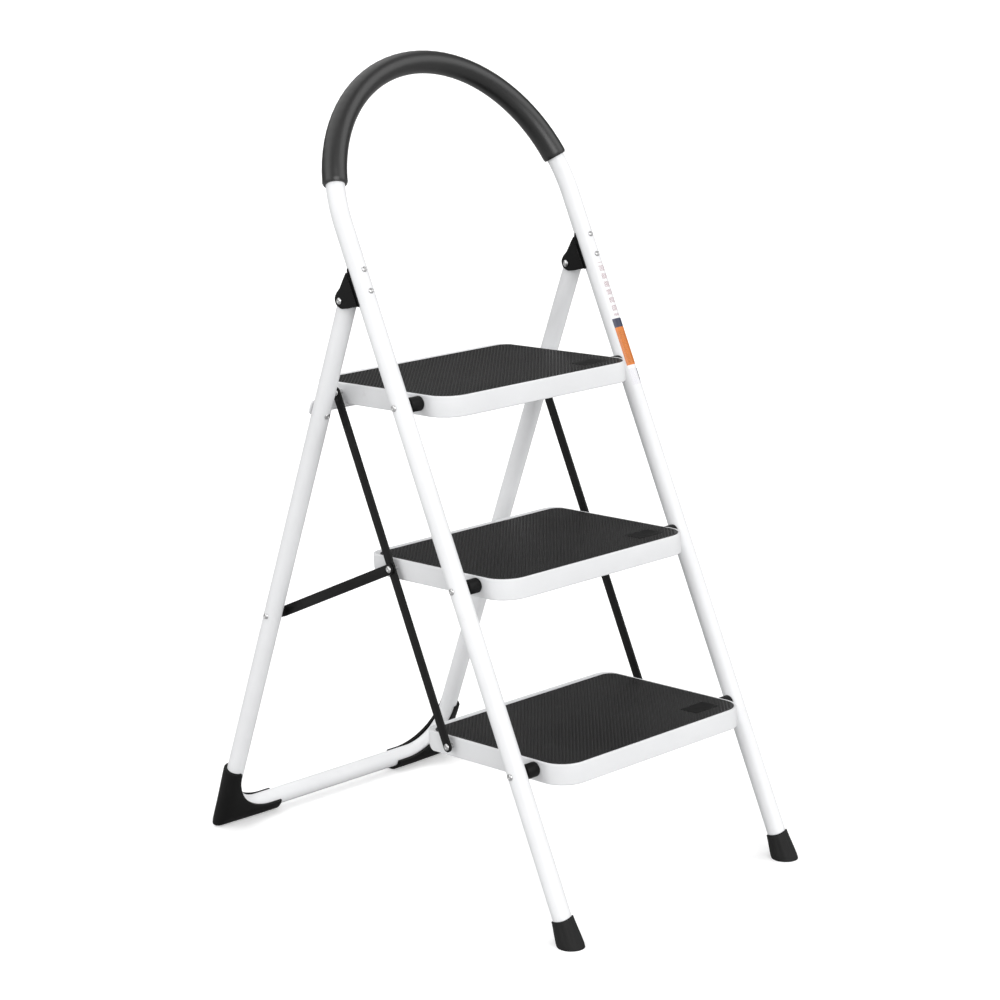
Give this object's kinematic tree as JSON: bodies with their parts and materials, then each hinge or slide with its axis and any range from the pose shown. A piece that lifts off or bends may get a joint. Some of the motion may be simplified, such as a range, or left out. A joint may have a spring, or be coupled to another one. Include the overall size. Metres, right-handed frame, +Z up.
{
  "type": "step stool",
  "caption": "Folding step stool with pressed treads, an arched tube handle with a foam grip, and a rear frame that folds against the front legs.",
  "frame": {"origin": "on the floor, under the middle of the opened stool", "axes": "+X to the right of a person climbing it; +Y from the front feet to the rear feet; +Z up"},
  "size_m": [0.4502, 0.7426, 1.0924],
  "materials": {
    "white_enamel": "white powder coat, semi-gloss, with a fine texture",
    "black_enamel": "black powder coat, satin",
    "black_plastic": "black moulded plastic, satin",
    "rubber": "black rubber, matt",
    "mat": "black ribbed mat, matt",
    "foam": "black closed-cell foam, matt",
    "zinc": "zinc-plated steel"
  },
  "bodies": {
    "front_frame": {"front_frame_tube": "white_enamel", "foam_grip": "foam", "front_foot_left": "rubber", "hinge_bracket_left": "black_plastic", "bracket_screw_upper_left": "zinc", "bracket_screw_lower_left": "zinc", "hinge_pin_left": "zinc", "step_bolt_1_left": "zinc", "step_spacer_1_left": "black_plastic", "step_nut_1_left": "zinc", "step_bolt_2_left": "zinc", "step_spacer_2_left": "black_plastic", "step_nut_2_left": "zinc", "step_bolt_3_left": "zinc", "step_spacer_3_left": "black_plastic", "step_nut_3_left": "zinc", "front_foot_right": "rubber", "hinge_bracket_right": "black_plastic", "bracket_screw_upper_right": "zinc", "bracket_screw_lower_right": "zinc", "hinge_pin_right": "zinc", "step_bolt_1_right": "zinc", "step_spacer_1_right": "black_plastic", "step_nut_1_right": "zinc", "step_bolt_2_right": "zinc", "step_spacer_2_right": "black_plastic", "step_nut_2_right": "zinc", "step_bolt_3_right": "zinc", "step_spacer_3_right": "black_plastic", "step_nut_3_right": "zinc"},
    "rear_frame": {"rear_frame_tube": "white_enamel", "brace_plate": "white_enamel", "rear_foot_left": "black_plastic", "plate_rivet_left": "zinc", "brace_bolt_left": "zinc", "brace_sleeve_left": "black_plastic", "rear_foot_right": "black_plastic", "plate_rivet_right": "zinc", "brace_bolt_right": "zinc", "brace_sleeve_right": "black_plastic"},
    "step_1": {"step_tray_1": "white_enamel", "step_mat_1": "mat", "link_rivet_1_left": "zinc", "link_rivet_1_right": "zinc"},
    "step_2": {"step_tray_2": "white_enamel", "step_mat_2": "mat", "link_rivet_2_left": "zinc", "link_rivet_2_right": "zinc"},
    "step_3": {"step_tray_3": "white_enamel", "step_mat_3": "mat", "link_rivet_3_left": "zinc", "link_rivet_3_right": "zinc"},
    "link_bar_left": {"link_bar_left": "black_enamel"},
    "link_bar_right": {"link_bar_right": "black_enamel"},
    "brace_link_left": {"brace_link_left": "black_enamel", "brace_nut_left": "zinc"},
    "brace_link_right": {"brace_link_right": "black_enamel", "brace_nut_right": "zinc"}
  },
  "joints": [
    {"name": "rear_frame_fold", "type": "hinge", "parent": "front_frame", "child": "rear_frame", "pos_m": [0, 0.0138, 0.789], "axis": [1, 0, 0], "range_deg": [-43.39, 0]},
    {"name": "step_1_fold", "type": "hinge", "parent": "front_frame", "child": "step_1", "pos_m": [0, -0.26662, 0.2068], "axis": [1, 0, 0], "range_deg": [0, 60.1]},
    {"name": "step_2_fold", "type": "hinge", "parent": "front_frame", "child": "step_2", "pos_m": [0, -0.17267, 0.4325], "axis": [1, 0, 0], "range_deg": [0, 60.1]},
    {"name": "step_3_fold", "type": "hinge", "parent": "front_frame", "child": "step_3", "pos_m": [0, -0.07872, 0.6582], "axis": [1, 0, 0], "range_deg": [0, 60.1]},
    {"name": "link_bar_left_pivot", "type": "hinge", "parent": "step_3", "child": "link_bar_left", "pos_m": [-0.1837, 0.07528, 0.6577], "axis": [1, 0, 0], "range_deg": [-60.1, 0]},
    {"name": "link_bar_right_pivot", "type": "hinge", "parent": "step_3", "child": "link_bar_right", "pos_m": [0.1837, 0.07528, 0.6577], "axis": [1, 0, 0], "range_deg": [-60.1, 0]},
    {"name": "brace_link_left_pivot", "type": "hinge", "parent": "step_2", "child": "brace_link_left", "pos_m": [-0.18795, -0.01867, 0.432], "axis": [1, 0, 0], "range_deg": [-141.5, 0]},
    {"name": "brace_link_right_pivot", "type": "hinge", "parent": "step_2", "child": "brace_link_right", "pos_m": [0.18795, -0.01867, 0.432], "axis": [1, 0, 0], "range_deg": [-141.5, 0]}
  ],
  "couplings": [
    {"joint": "step_1_fold", "follows": "rear_frame_fold", "ratio": -1.3828},
    {"joint": "step_2_fold", "follows": "rear_frame_fold", "ratio": -1.3828},
    {"joint": "step_3_fold", "follows": "rear_frame_fold", "ratio": -1.3828},
    {"joint": "link_bar_left_pivot", "follows": "rear_frame_fold", "ratio": 1.3828},
    {"joint": "link_bar_right_pivot", "follows": "rear_frame_fold", "ratio": 1.3828},
    {"joint": "brace_link_left_pivot", "follows": "rear_frame_fold", "ratio": 3.2594},
    {"joint": "brace_link_right_pivot", "follows": "rear_frame_fold", "ratio": 3.2594}
  ]
}
